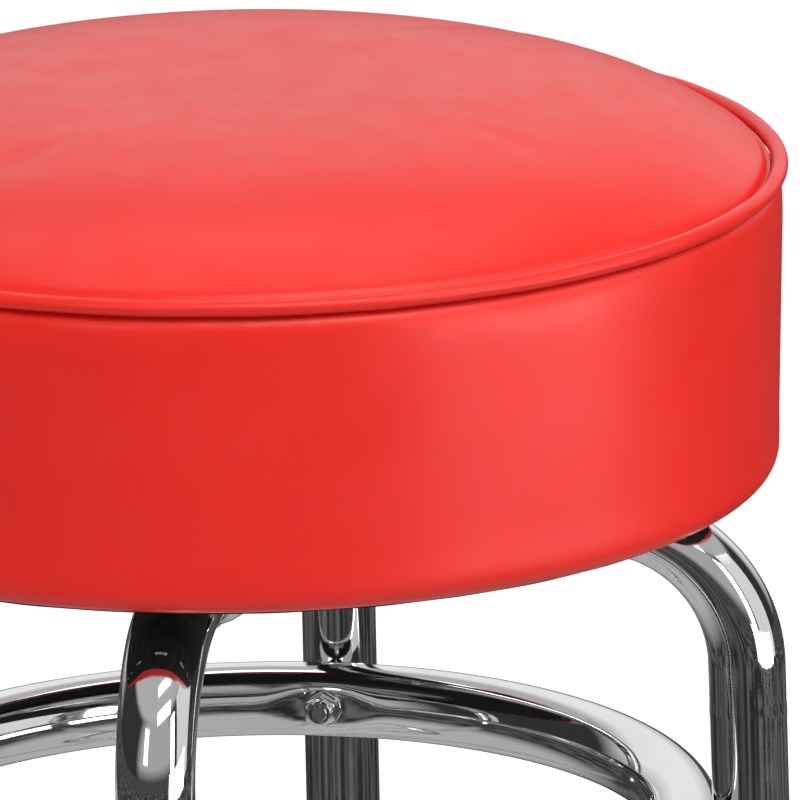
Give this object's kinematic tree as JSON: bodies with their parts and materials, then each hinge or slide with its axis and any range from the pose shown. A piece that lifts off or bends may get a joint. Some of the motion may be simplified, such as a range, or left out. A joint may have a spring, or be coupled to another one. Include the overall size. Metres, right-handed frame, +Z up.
{
  "type": "swivel bar stool",
  "caption": "Round padded swivel stool on a chromed frame of crossed tube hoops, with footrings bolted inside the splayed legs and screw-out levelling feet.",
  "frame": {"origin": "on the floor, on the seat's turning axis", "axes": "+Z up along the turning axis; the upper hoop's legs stand on X, the lower hoop's on Y"},
  "size_m": [0.3828, 0.3828, 0.787],
  "materials": {
    "red_vinyl": "satin",
    "foam": "matte",
    "plywood": "matte",
    "chrome": "polished",
    "zinc_steel": "satin",
    "black_plastic": "satin"
  },
  "bodies": {
    "frame": {"frame_hoop_lower": "chrome", "frame_hoop_upper": "chrome", "glide_insert_1": "black_plastic", "glide_insert_2": "black_plastic", "glide_insert_3": "black_plastic", "glide_insert_4": "black_plastic", "hoop_bolt_1": "zinc_steel", "hoop_bolt_2": "zinc_steel", "hoop_bolt_3": "zinc_steel", "hoop_bolt_4": "zinc_steel", "hoop_nut_1": "zinc_steel", "hoop_nut_2": "zinc_steel", "hoop_nut_3": "zinc_steel", "hoop_nut_4": "zinc_steel", "ring_lower": "chrome", "ring_lower_bolt_1": "chrome", "ring_lower_bolt_2": "chrome", "ring_lower_bolt_3": "chrome", "ring_lower_bolt_4": "chrome", "ring_lower_nut_1": "zinc_steel", "ring_lower_nut_2": "zinc_steel", "ring_lower_nut_3": "zinc_steel", "ring_lower_nut_4": "zinc_steel", "ring_upper": "chrome", "ring_upper_bolt_1": "chrome", "ring_upper_bolt_2": "chrome", "ring_upper_bolt_3": "chrome", "ring_upper_bolt_4": "chrome", "ring_upper_nut_1": "zinc_steel", "ring_upper_nut_2": "zinc_steel", "ring_upper_nut_3": "zinc_steel", "ring_upper_nut_4": "zinc_steel", "swivel_base_plate": "zinc_steel", "swivel_hub": "zinc_steel", "swivel_hub_washer": "zinc_steel"},
    "seat": {"seat_board": "plywood", "seat_foam": "foam", "seat_screw_1": "zinc_steel", "seat_screw_2": "zinc_steel", "seat_screw_3": "zinc_steel", "seat_screw_4": "zinc_steel", "seat_side_band": "red_vinyl", "seat_t_nut_1": "zinc_steel", "seat_t_nut_2": "zinc_steel", "seat_t_nut_3": "zinc_steel", "seat_t_nut_4": "zinc_steel", "seat_top_panel": "red_vinyl", "seat_welt": "red_vinyl", "swivel_top_plate": "zinc_steel"},
    "ball_race": {"swivel_ball_race": "zinc_steel"},
    "glide_1": {"glide_stem_1": "zinc_steel", "glide_foot_1": "black_plastic"},
    "glide_2": {"glide_stem_2": "zinc_steel", "glide_foot_2": "black_plastic"},
    "glide_3": {"glide_stem_3": "zinc_steel", "glide_foot_3": "black_plastic"},
    "glide_4": {"glide_stem_4": "zinc_steel", "glide_foot_4": "black_plastic"}
  },
  "joints": [
    {"name": "seat_swivel", "type": "hinge", "parent": "frame", "child": "seat", "pos_m": [0, 0, 0.6489], "axis": [0, 0, 1], "continuous": true},
    {"name": "ball_race_turn", "type": "hinge", "parent": "frame", "child": "ball_race", "pos_m": [0, 0, 0.6489], "axis": [0, 0, 1], "continuous": true},
    {"name": "glide_1_adjust", "type": "slide", "parent": "frame", "child": "glide_1", "axis": [0.0175, 0, -0.9998], "range_m": [0, 0.012]},
    {"name": "glide_2_adjust", "type": "slide", "parent": "frame", "child": "glide_2", "axis": [0, 0.0175, -0.9998], "range_m": [0, 0.012]},
    {"name": "glide_3_adjust", "type": "slide", "parent": "frame", "child": "glide_3", "axis": [-0.0175, 0, -0.9998], "range_m": [0, 0.012]},
    {"name": "glide_4_adjust", "type": "slide", "parent": "frame", "child": "glide_4", "axis": [0, -0.0175, -0.9998], "range_m": [0, 0.012]}
  ],
  "couplings": [
    {"joint": "ball_race_turn", "follows": "seat_swivel", "ratio": 0.5}
  ]
}
